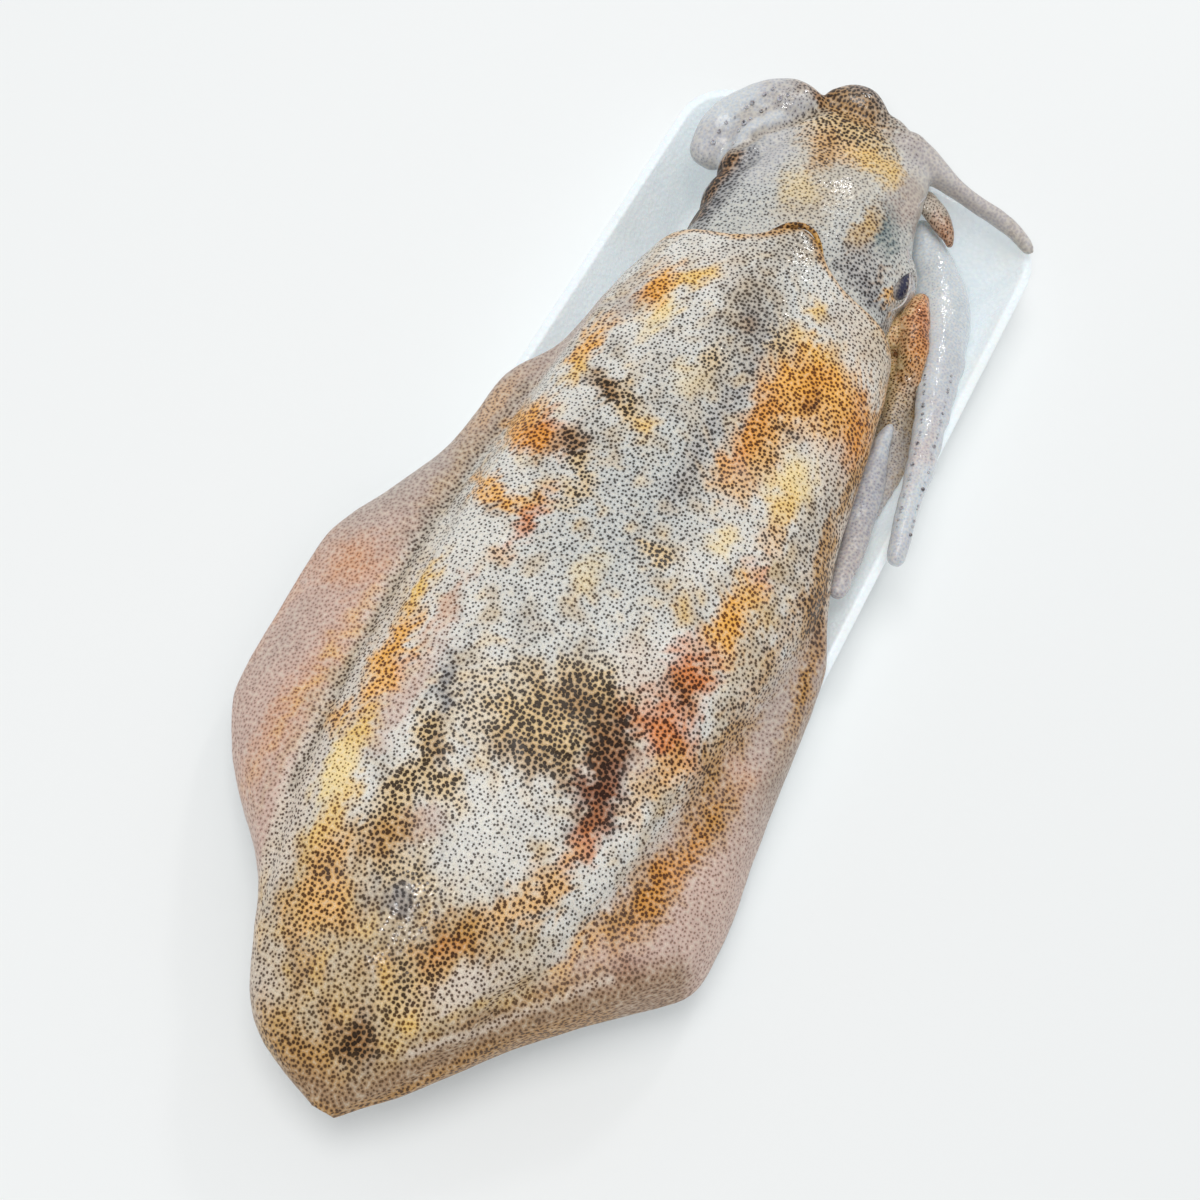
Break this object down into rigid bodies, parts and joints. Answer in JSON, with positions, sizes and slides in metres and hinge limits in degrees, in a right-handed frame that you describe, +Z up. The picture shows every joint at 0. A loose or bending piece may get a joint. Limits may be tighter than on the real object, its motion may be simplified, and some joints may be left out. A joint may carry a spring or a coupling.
{
  "type": "whole raw squid on a foam tray",
  "caption": "Whole raw squid lying belly down on a long white foam tray, fins draped over its rims, head and arms folded at one end.",
  "frame": {"origin": "centre of the tray's flat underside", "axes": "+Y along the squid from its tail to its head, +X to its right side, +Z up"},
  "size_m": [0.152, 0.3323, 0.055],
  "materials": {
    "foam": "white expanded foam, slightly beaded, wet in places",
    "skin": "wet translucent skin with dense dark pigment spots and brown, orange and white patches",
    "head_skin": "wet grey-white skin with pigment spots",
    "arm_brown": "wet brown skin, lilac at the thin end",
    "arm_orange": "wet orange-brown spotted skin",
    "arm_olive": "wet olive translucent skin",
    "arm_lilac": "wet grey-lilac translucent skin with faint spots",
    "pale_flesh": "wet blue-white translucent flesh with small suckers",
    "eye": "dark blue-black glossy eye with a silver rim"
  },
  "bodies": {
    "root": {"tray": "foam", "mantle": "skin", "head": "head_skin", "eye_right": "eye", "eye_left": "eye", "arm_left_dorsal": "arm_brown", "arm_right_dorsal": "arm_brown", "arm_far_right": "arm_lilac", "arm_right_brown": "arm_brown", "tentacle_right": "pale_flesh", "arm_right_orange": "arm_orange", "arm_right_olive": "arm_olive", "arm_right_lilac": "arm_lilac"}
  },
  "joints": []
}
